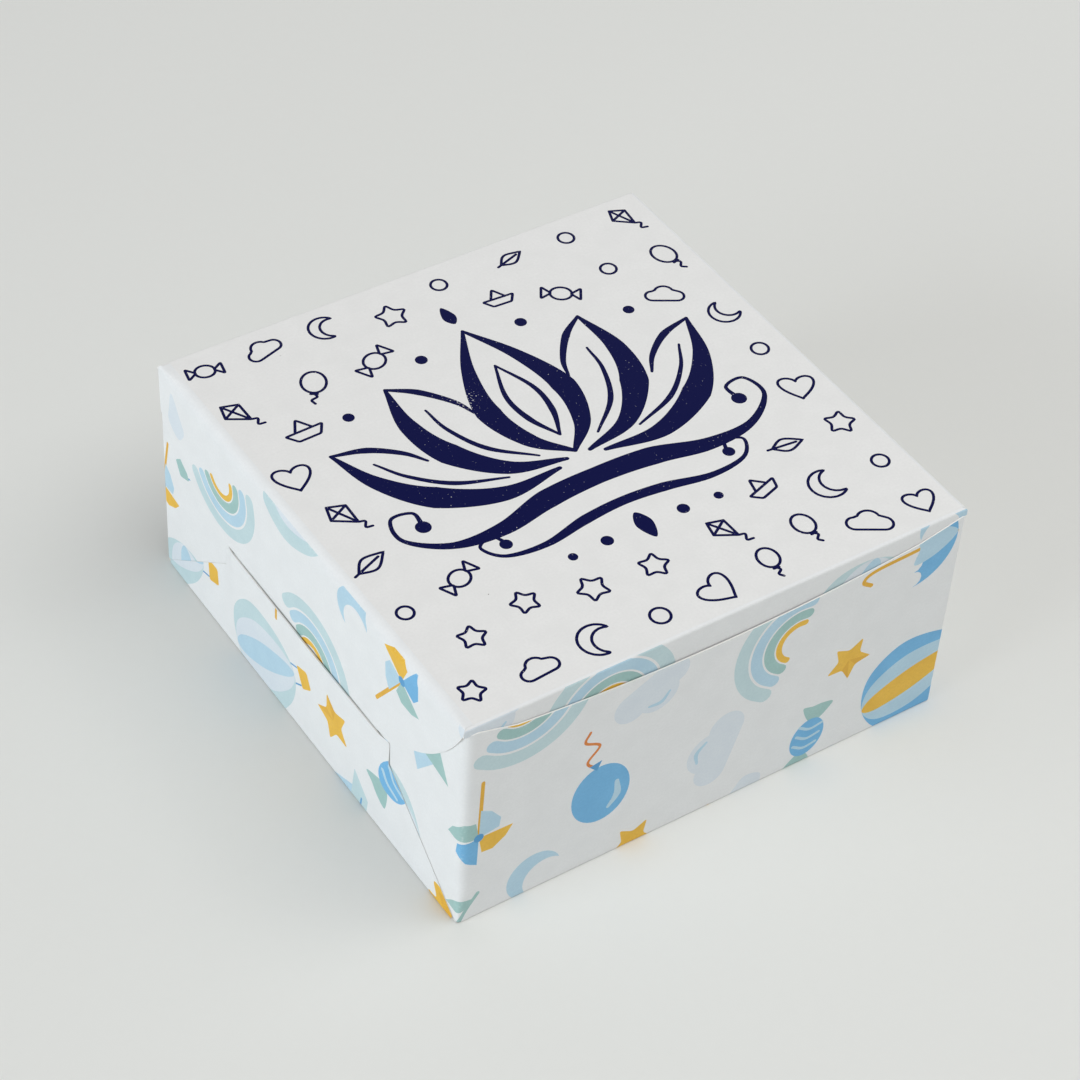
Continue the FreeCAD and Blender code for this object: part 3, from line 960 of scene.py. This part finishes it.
def solid_mesh(name, flat, triangles, outer, inner, normals, flip, paints, materials, sheet, wear):
    """A closed mesh from one flat triangulation. paints has a material number for each triangle."""
    count = len(flat)
    if flip:
        triangles = triangles[:, ::-1]
    directed = [edge for p, q, r in triangles.tolist() for edge in ((p, q), (q, r), (r, p))]
    known = set(directed)
    rim = [(j, i, i + count, j + count) for i, j in directed if (j, i) not in known]
    faces = triangles.tolist() + (triangles[:, ::-1] + count).tolist() + rim
    mesh = bpy.data.meshes.new(name)
    mesh.from_pydata((np.concatenate([outer, inner]) * MM).tolist(), [], faces)
    for material in materials:
        mesh.materials.append(material)
    numbers = list(paints) + [len(materials) - 2] * len(triangles) + [len(materials) - 1] * len(rim)
    mesh.polygons.foreach_set("material_index", numbers)
    mesh.polygons.foreach_set("use_smooth", [True] * len(faces))
    corners = np.concatenate([np.array(face) for face in faces])
    places = np.concatenate([sheet, sheet])[corners] * MM
    mesh.uv_layers.new(name="flat_sheet").data.foreach_set("uv", places.ravel())
    worn = mesh.attributes.new("fold_wear", "FLOAT", "POINT")
    worn.data.foreach_set("value", np.concatenate([wear, 0 * wear]).astype(np.float32))
    mesh.update()
    rim_normals = np.array([mesh.polygons[i].normal for i in range(2 * len(triangles), len(faces))])
    on_faces = np.concatenate([normals, -normals])[corners[:6 * len(triangles)]]
    mesh.normals_split_custom_set(np.concatenate([on_faces, np.repeat(rim_normals, 4, 0)]).tolist())
    made = bpy.data.objects.new(name, mesh)
    bpy.context.scene.collection.objects.link(made)
    return made


def fold_lines(panel):
    """Rows across the fold, with a narrow flat row at each end of it, and lines where the panel bends."""
    (left, near), (right, far) = panel.outline.min(0) - 1, panel.outline.max(0) + 1
    rows = []
    if panel.reach:
        rows = [FOLD_LEAD, *np.linspace(0, panel.fold, FOLD_ROWS + 1)[1:], panel.fold + FOLD_LEAD]
    lines = [[(left, b), (right, b)] for b in [*rows, *panel.rows]]
    return lines + [[(a, near), (a, far)] for a in panel.columns]


print("a fold has", FOLD_ROWS, "rows")

# %% [markdown]
# ## Folding up the box
# Each sheet stands for its packed solid and bends over its own crease. On the lid's own flaps the print
# begins at the crease, because the lid is left white for the foil.

# %% Make every panel
PALETTE = list(inks)


def make_panel(panel):
    on_lid = panel.name == "lid_panel"
    shapes = []
    if not on_lid:
        (left, near), (right, far) = panel.outline.min(0), panel.outline.max(0)
        for ink, loops in printed:
            moved = [panel.from_sheet(loop) for loop in loops]
            low, high = np.concatenate(moved).min(0), np.concatenate(moved).max(0)
            if low[0] < right and high[0] > left and low[1] < far and high[1] > near:
                shapes.append((ink, [counterclockwise(loop) for loop in moved]))
    loops = [panel.outline] + [loop for _, shape in shapes for loop in shape]
    flat, triangles = triangulate(loops, fold_lines(panel))
    middles = flat[triangles].mean(1)
    kept = inside(middles, [counterclockwise(panel.outline)])
    triangles, middles = triangles[kept], middles[kept]
    paints = np.zeros(len(triangles), int)
    white_to = panel.fold / 2 if panel.parent == "lid_panel" else -1.0
    for ink, shape in shapes:
        paints[inside(middles, shape) & (middles[:, 1] > white_to)] = 1 + PALETTE.index(ink)
    used, triangles = np.unique(triangles, return_inverse=True)
    flat, triangles = flat[used], triangles.reshape(-1, 3)
    a, b = flat.T
    outer, normals = panel.place(a, b), panel.normal(a, b)
    inner = outer - panel.thickness(a, b)[:, None] * normals
    wear = np.clip(1 - np.abs(2 * b / panel.fold - 1), 0, 1) if panel.reach else 0 * b
    materials = [lid_board if on_lid else board, *inks.values(), board_back, cut_edge]
    made = solid_mesh(f"{panel.name}_sheet", flat, triangles, outer, inner, normals, panel.outward < 0,
                      paints, materials, panel.to_sheet(flat), wear)
    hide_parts(panel.name)
    if panel.parent is None:
        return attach(made, panel.name)
    at = np.array([panel.outline[:, 0].mean()])
    corner = panel.corner + at[:, None] * panel.along
    start = (corner + panel.reach * direction(panel.into_parent, at))[0]
    end = (corner + panel.reach * direction(panel.into_child, at))[0]
    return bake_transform(made)


for panel in panels:
    piece = make_panel(panel)
    print(piece.name, len(piece.data.vertices), "vertices")

# %% [markdown]
# ## Hot-stamped foil
# The lid's dark design is pressed on with a heated die: a thin metal film, tinted navy, bonds to the board.
# It mirrors softly, so its colour is the colour of its reflections. Where dust kept it off, pinholes show
# the board, and handling has rubbed one patch of it.

# %% Make the foil's material
PINHOLE_SIZE = 0.55  # pinholes are nearer 0.1 mm, drawn coarser here so that they show
SCUFF_PLACE = (-14.0, 24.0)
SCUFF_SIZE = 9.0


def hot_stamped_foil():
    made, tree = new_material("hot_stamped_navy_foil")
    sheet = add(tree, "UVMap", uv_map="flat_sheet").outputs["UV"]
    dust = add(tree, "TexNoise", {"Vector": sheet, "Scale": 1 / (PINHOLE_SIZE * MM), "Detail": 2.0})
    centre = (SCUFF_PLACE[0] * MM, SCUFF_PLACE[1] * MM, 0.0)
    away = add(tree, "VectorMath", {0: sheet, 1: centre}, operation="DISTANCE")
    fading = {"Value": away.outputs["Value"], "From Max": SCUFF_SIZE * MM, "To Min": 0.13, "To Max": 0.0}
    rub = add(tree, "MapRange", fading, interpolation_type="SMOOTHSTEP")
    worn = add(tree, "Math", {0: dust.outputs["Fac"], 1: rub.outputs[0]}, operation="ADD")
    holes = add(tree, "MapRange", {"Value": worn.outputs[0], "From Min": 0.715, "From Max": 0.745})
    tones = {MIX_FACTOR: holes.outputs[0], MIX_A: linear("#12164e"), MIX_B: linear("#c9c9cc")}
    colour = add(tree, "Mix", tones, data_type="RGBA").outputs[MIX_RESULT]
    metal = add(tree, "MapRange", {"Value": holes.outputs[0], "To Min": 1.0, "To Max": 0.0})
    rough = add(tree, "MapRange", {"Value": dust.outputs["Fac"], "From Min": 0.3, "From Max": 0.7,
                                   "To Min": 0.3, "To Max": 0.42})
    bump = add(tree, "Bump", {"Height": dust.outputs["Fac"], "Strength": 0.2, "Distance": 0.008 * MM})
    shader = add(tree, "BsdfPrincipled", {"Base Color": colour, "Metallic": metal.outputs[0],
                                          "Roughness": rough.outputs[0], "Normal": bump.outputs[0]})
    add(tree, "OutputMaterial", {"Surface": shader.outputs[0]})
    return made


foil = hot_stamped_foil()
print("foil:", foil.name)

# %% [markdown]
# ## The lotus on the lid
# A lotus is an old ornament for sweet boxes. It is drawn with a broad pen: each petal is two strokes that
# swell in the middle and thin out to hairlines, and the right half is mirrored to make the left.

# %% Draw the lotus
PEN_STROKES = (
    ([(0, -8), (8, 1), (11.5, 15), (7.5, 31), (0, 46)], [1.2, 4.8, 7.0, 3.8, 0.9]),
    ([(3.5, -9.5), (18, -5), (28.5, 7), (32, 21), (30, 36)], [1.2, 4.8, 7.8, 5.2, 0.9]),
    ([(30, 36), (23, 31), (16.8, 23), (14.6, 17)], [0.9, 2.2, 1.6, 0.8]),
    ([(7, -11.5), (24, -12.5), (40, -5), (50, 7), (55, 21)], [1.2, 5.2, 7.8, 4.6, 0.9]),
    ([(55, 21), (46, 18.5), (38.5, 13), (34.5, 7.5)], [0.9, 2.2, 1.6, 0.8]),
    ([(0, -1), (3.6, 8), (4.2, 18), (0, 30)], [0.8, 1.8, 1.4, 0.7]),
    ([(9, -5), (19, 4), (24, 15), (25, 24)], [0.7, 1.6, 1.2, 0.7]),
    ([(20, -8), (33, -3), (42, 5), (47, 13)], [0.7, 1.6, 1.2, 0.7]),
)
SWASHES = (
    ([(0, -18.5), (16, -19.5), (31, -23), (45, -22), (55, -14.5), (54, -6.5), (48, -7), (48, -12)],
     [6.0, 6.6, 4.6, 2.4, 1.3, 1.0, 1.0, 1.4]),
    ([(0, -29.5), (12, -30.5), (25, -33), (36, -31.5), (40, -26), (35.5, -24), (33.5, -27.5)],
     [3.0, 3.2, 2.0, 1.2, 0.9, 0.9, 1.2]),
)
PEN_DOTS = ((48.2, -12.6, 2.1), (33.8, -28, 1.7), (15.5, 41.5, 1.7), (43.5, 31.5, 1.6), (22, -40, 1.3),
            (11.5, -39.5, 1.7))
LOTUS_SHIFT = (1.0, 1.0)


def lotus():
    right = [loop for points, widths in PEN_STROKES for loop in brush(points, widths)]
    right += [ellipse(x, y, radius, count=28) for x, y, radius in PEN_DOTS]
    left = [counterclockwise(loop * (-1, 1)) for loop in right]
    across = []
    for points, widths in SWASHES:
        half = np.array(points)
        across += brush(np.concatenate([(half * (-1, 1))[:0:-1], half]), widths[:0:-1] + widths)
    pendant = smooth_path([(0, -34.5), (2.4, -39), (0, -44.5), (-2.4, -39)], closed=True)
    bud = smooth_path([(0, 57), (1.9, 52.5), (0, 49.5), (-1.9, 52.5)], closed=True)
    middle = [counterclockwise(pendant), counterclockwise(bud)]
    return [loop + LOTUS_SHIFT for loop in right + left + across + middle]


lotus_loops = lotus()
lotus_points = np.concatenate(lotus_loops)
print("lotus in mm:", np.round(lotus_points.min(0), 1), "to", np.round(lotus_points.max(0), 1))

# %% [markdown]
# ## Line drawings round the lotus
# Small outlines, about 5 to 11 mm across with a line of under a millimetre, fill the rest of the lid. They
# are thrown like the pastel print, and then each one shifts to where it has more room, again and again.

# %% Draw the outlines
LINE = 0.78


def lined(*shapes):
    """Closed lines: for each shape its outer edge, and its inner edge run the other way."""
    made = []
    for shape in shapes:
        loop = counterclockwise(shape)
        left = sideways(loop, True) * LINE / 2
        made += [loop - left, (loop + left)[::-1]]
    return made


def line_star(size):
    return lined(rounded(star_points(4.2, 2.25) * size, 0.8 * size, 4))


def line_heart(size):
    turn = np.linspace(0, 2 * np.pi, 48, endpoint=False)
    x = 4.4 * np.sin(turn) ** 3
    y = 3.7 * np.cos(turn) - 1.45 * np.cos(2 * turn) - 0.6 * np.cos(3 * turn)
    return lined(np.stack([x, y], 1) * size)


def line_ring(size):
    return lined(ellipse(0, 0, 2.3 * size, count=28))


def line_crescent(size):
    return lined(rounded(crescent_points(4.6 * size)[::2], 0.5, 3))


def line_kite(size):
    top, right, low, left = np.array([(0, 4.6), (3.2, 1.2), (0, -4.4), (-3.2, 1.2)]) * size
    spars = brush([top, low], LINE, 2) + brush([left, right], LINE, 2)
    tail = brush([low, low + (1.1, -1.3), low + (-0.6, -2.5), low + (0.7, -3.7)], LINE, 5)
    return lined(rounded([top, right, low, left], 0.4)) + spars + tail


def line_balloon(size):
    string = brush(np.array([(0, -3.7), (0.7, -4.8), (-0.6, -6.0), (0.2, -7.2)]) * size, LINE, 5)
    knot = brush(np.array([(-0.8, -3.8), (0.8, -3.8)]) * size, LINE, 2)
    return lined(ellipse(0, 0.4, 3.0 * size, 3.7 * size)) + knot + string


def line_cloud(size):
    path = np.concatenate([arc(-3.1, -0.6, 1.9, 270, 95, 12), arc(0.1, 0.9, 2.6, 160, 25, 12),
                           arc(3.4, -0.5, 2.0, 75, -90, 12)])
    return lined(path * size)


def line_leaf(size):
    vein = brush(np.array([(-5.8, 0), (2.6, 0)]) * size, LINE, 2)
    return lined(leaf(-4.6, 0, 0, 9.2, 4.6) * size) + vein


def line_sweet(size):
    fan = rounded([(2.6, 0), (5.2, 2.3), (5.2, -2.3)], 0.5)
    return lined(ellipse(0, 0, 2.9 * size, 2.5 * size), fan * size, fan * (-size, size))


def line_boat(size):
    hull = rounded([(-5, 0), (5, 0), (3, -3), (-3, -3)], 0.5)
    sail = rounded([(-2.4, 0), (2.4, 0), (0, 4)], 0.5)
    return lined(hull * size, sail * size)


OUTLINES = (line_star, line_kite, line_heart, line_sweet, line_ring, line_balloon, line_crescent, line_cloud,
            line_star, line_leaf, line_ring, line_boat)
print("outline drawings:", len(OUTLINES))

# %% Scatter the outlines over the lid
ICON_COUNT = 44
ICON_EDGE = 66.5
FOIL_EDGE = 71.0
ICON_TRIES = 200
ICON_SHIFTS = 12
ICON_SWEEPS = 40
FIRST_SHIFT, LAST_SHIFT = 8.0, 1.0
ICON_SIZE_SHARES = (0.9, 1.15)
ICON_TURN = 0.6
LOTUS_CLEARANCE_SHARE = 1.7
ICON_SEED = 5


def scatter_outlines():
    """Each outline takes the emptiest of many random places, and then spreads out from its neighbours."""
    dice = np.random.default_rng(ICON_SEED)
    places = np.zeros((0, 2))

    def nearest(tries, others):
        return np.hypot(*(others - tries[:, None]).transpose(2, 0, 1)).min(1)

    def roomiest(tries, others):
        room = LOTUS_CLEARANCE_SHARE * nearest(tries, lotus_points[::3])
        if len(others):
            room = np.minimum(room, nearest(tries, others))
        return tries[np.argmax(room)], room.max()

    for _ in range(ICON_COUNT):
        place, _ = roomiest(dice.uniform(-ICON_EDGE, ICON_EDGE, (ICON_TRIES, 2)), places)
        places = np.concatenate([places, [place]])
    for reach in np.linspace(FIRST_SHIFT, LAST_SHIFT, ICON_SWEEPS):
        for number in range(ICON_COUNT):
            tries = places[number] + dice.uniform(-reach, reach, (ICON_SHIFTS, 2))
            tries[0] = places[number]
            tries = np.clip(tries, -ICON_EDGE, ICON_EDGE)
            places[number], _ = roomiest(tries, np.delete(places, number, 0))
    gaps = [roomiest(places[i:i + 1], np.delete(places, i, 0))[1] for i in range(ICON_COUNT)]
    print("outlines on the lid:", ICON_COUNT, "with middles", round(min(gaps), 1), "mm apart or more")
    made = []
    for number, place in enumerate(places):
        loops = OUTLINES[number % len(OUTLINES)](dice.uniform(*ICON_SIZE_SHARES))
        loops = transformed(loops, *place, dice.uniform(-ICON_TURN, ICON_TURN))
        low, high = np.concatenate(loops).min(0), np.concatenate(loops).max(0)
        inwards = np.maximum(low, -FOIL_EDGE) - low + np.minimum(high, FOIL_EDGE) - high
        made.append([loop + inwards for loop in loops])
    return made


icons = scatter_outlines()

# %% [markdown]
# ## Pressing the foil
# The film is its own thin solid on top of the board, so its edges are cut by geometry and stay crisp close
# up.

# %% Make the foil pieces
FOIL = 0.015


def press_foil(name, groups):
    """groups is a list of designs, each a list of loops on the lid as seen from above."""
    flat, triangles = triangulate([loop for loops in groups for loop in loops], [])
    middles = flat[triangles].mean(1)
    kept = np.zeros(len(triangles), bool)
    for loops in groups:
        kept |= inside(middles, loops)
    used, triangles = np.unique(triangles[kept], return_inverse=True)
    flat, triangles = flat[used], triangles.reshape(-1, 3)
    low = np.column_stack([flat, np.full(len(flat), HEIGHT)])
    normals = np.tile(Z, (len(flat), 1))
    made = solid_mesh(name, flat, triangles, low + FOIL * normals, low, normals, False,
                      np.zeros(len(triangles), int), [foil, foil, foil], flat, np.zeros(len(flat)))
    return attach(made, "lid_panel")


lotus_strokes = [[loop] for loop in lotus_loops]
for piece in (press_foil("lid_foil_lotus", lotus_strokes), press_foil("lid_foil_outlines", icons)):
    print(piece.name, len(piece.data.polygons), "faces")

# %% [markdown]
# ## Floor
# The box stands on a pale painted board. One flat face is enough for it. It lies a hair below the base, so
# that the two don't share a place, and its paint has wide faint patches and a fine grain.

# %% Lay the floor
FLOOR_HALF = 6.0
FLOOR_GAP = 0.0001
PATCH_SIZE = 333.0
PAINT_GRAIN = 2.5


def painted_floor():
    made, tree = new_material("painted_floor")
    place = add(tree, "TexCoord").outputs["Object"]
    wide = add(tree, "TexNoise", {"Vector": place, "Scale": 1 / (PATCH_SIZE * MM), "Detail": 2.0})
    fine = add(tree, "TexNoise", {"Vector": place, "Scale": 1 / (PAINT_GRAIN * MM), "Detail": 3.0})
    noise = {MIX_FACTOR: 0.3, MIX_A: wide.outputs["Color"], MIX_B: fine.outputs["Color"]}
    both = add(tree, "Mix", noise, data_type="RGBA").outputs[MIX_RESULT]
    tones = {MIX_FACTOR: both, MIX_A: linear("#e3e4e1"), MIX_B: linear("#e9eae7")}
    colour = add(tree, "Mix", tones, data_type="RGBA").outputs[MIX_RESULT]
    shader = add(tree, "BsdfPrincipled", {"Base Color": colour, "Roughness": 0.7, "Specular IOR Level": 0.2})
    add(tree, "OutputMaterial", {"Surface": shader.outputs[0]})
    return made


floor_mesh = bpy.data.meshes.new("floor")
floor_corners = rectangle(FLOOR_HALF, 2 * FLOOR_HALF)
floor_mesh.from_pydata([(x, y - FLOOR_HALF, -FLOOR_GAP) for x, y in floor_corners], [], [(0, 1, 2, 3)])
floor_mesh.materials.append(painted_floor())
floor = bpy.data.objects.new("floor", floor_mesh)
bpy.context.scene.collection.objects.link(floor)
floor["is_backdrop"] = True
print("floor:", 2 * FLOOR_HALF, "m square")

# %% [markdown]
# ## Light
# A large low lamp on the left lights the side, two large ones above and on the right light the lid and the
# floor, and an even sky fills the rest, so the front is in light shade. The sky that is seen, or mirrored
# in the foil, is brighter than the sky that lights.

# %% Light the box
SKY_LIGHT = 0.39
SKY_SEEN = 0.68
LAMP_TARGET = Vector((0, 0, 0.03))
# Name, place and size in metres, watts and tint.
LAMPS = (
    ("side_lamp", (-3.2, 0.0, 0.67), 2.4, 64.0, "#f3faff"),
    ("top_lamp", (0.35, -0.5, 1.7), 1.6, 12.2, "#fffefc"),
    ("right_lamp", (1.6, -0.7, 1.8), 1.6, 8.3, "#fffefc"),
)
world = bpy.data.worlds.new("studio")
world.use_nodes = True
bpy.context.scene.world = world
sky = world.node_tree
sky.nodes.clear()
rays = add(sky, "LightPath")
seen = rays.outputs["Is Camera Ray"]
for kind in ("Is Glossy Ray", "Is Transmission Ray"):
    seen = add(sky, "Math", {0: seen, 1: rays.outputs[kind]}, operation="MAXIMUM").outputs[0]
strength = add(sky, "MapRange", {"Value": seen, "To Min": SKY_LIGHT, "To Max": SKY_SEEN})
glow = add(sky, "Background", {"Color": linear("#ffffff"), "Strength": strength.outputs[0]})
add(sky, "OutputWorld", {"Surface": glow.outputs[0]})
for name, place, size, watts, tint in LAMPS:
    lamp = bpy.data.lights.new(name, "AREA")
    lamp.shape, lamp.size, lamp.energy = "DISK", size, watts
    lamp.color = linear(tint)[:3]
    holder = bpy.data.objects.new(name, lamp)
    holder.location = place
    holder.rotation_euler = (LAMP_TARGET - Vector(place)).to_track_quat("-Z", "Y").to_euler()
    bpy.context.scene.collection.objects.link(holder)
# Seen low from the right, the lid would mirror the side lamp and lose its print.
bpy.data.objects["side_lamp"].visible_glossy = False
print("lamps:", [row[0] for row in LAMPS])

# %% [markdown]
# ## Camera
# The view is from the front left and well above, through a long lens, with the camera rolled by a few
# degrees. Its turn is a matrix whose columns are the camera's own right, up and back, so the roll only
# turns the first two.

# %% Set up the camera
AZIMUTH, ELEVATION, ROLL = math.radians(-35.98), math.radians(43.89), math.radians(4.0)
TARGET = Vector((0.0180, 0.02895, 0.0))
DISTANCE = 0.8517
LENS, SENSOR = 101.6, 36.0
CLIP_START, CLIP_END = 0.05, 50.0
level = math.cos(ELEVATION)
back = Vector((math.sin(AZIMUTH) * level, -math.cos(AZIMUTH) * level, math.sin(ELEVATION)))
across = Vector((0, 0, 1)).cross(back).normalized()
over = back.cross(across)
right = math.cos(ROLL) * across + math.sin(ROLL) * over
up = math.cos(ROLL) * over - math.sin(ROLL) * across
camera = bpy.data.objects.new("camera", bpy.data.cameras.new("camera"))
camera.data.lens, camera.data.sensor_width = LENS, SENSOR
camera.data.clip_start, camera.data.clip_end = CLIP_START, CLIP_END
turned = Matrix((right, up, back)).transposed().to_4x4()
camera.matrix_world = Matrix.Translation(TARGET + DISTANCE * back) @ turned
bpy.context.scene.collection.objects.link(camera)
bpy.context.scene.camera = camera
bpy.context.scene.view_settings.view_transform = "Standard"
print("camera at", [round(v, 3) for v in camera.location])

# %% [markdown]
# ## Check the size and finish
# The dressed box has to stay inside the packed one, so both boxes are measured and the largest step out is
# printed.

# %% Measure and finish
visual_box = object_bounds()
steps_out = [max(cad_box[0][i] - visual_box[0][i], visual_box[1][i] - cad_box[1][i]) for i in range(3)]
print("largest step out of the packed box in mm:", round(max(steps_out) / MM, 3))
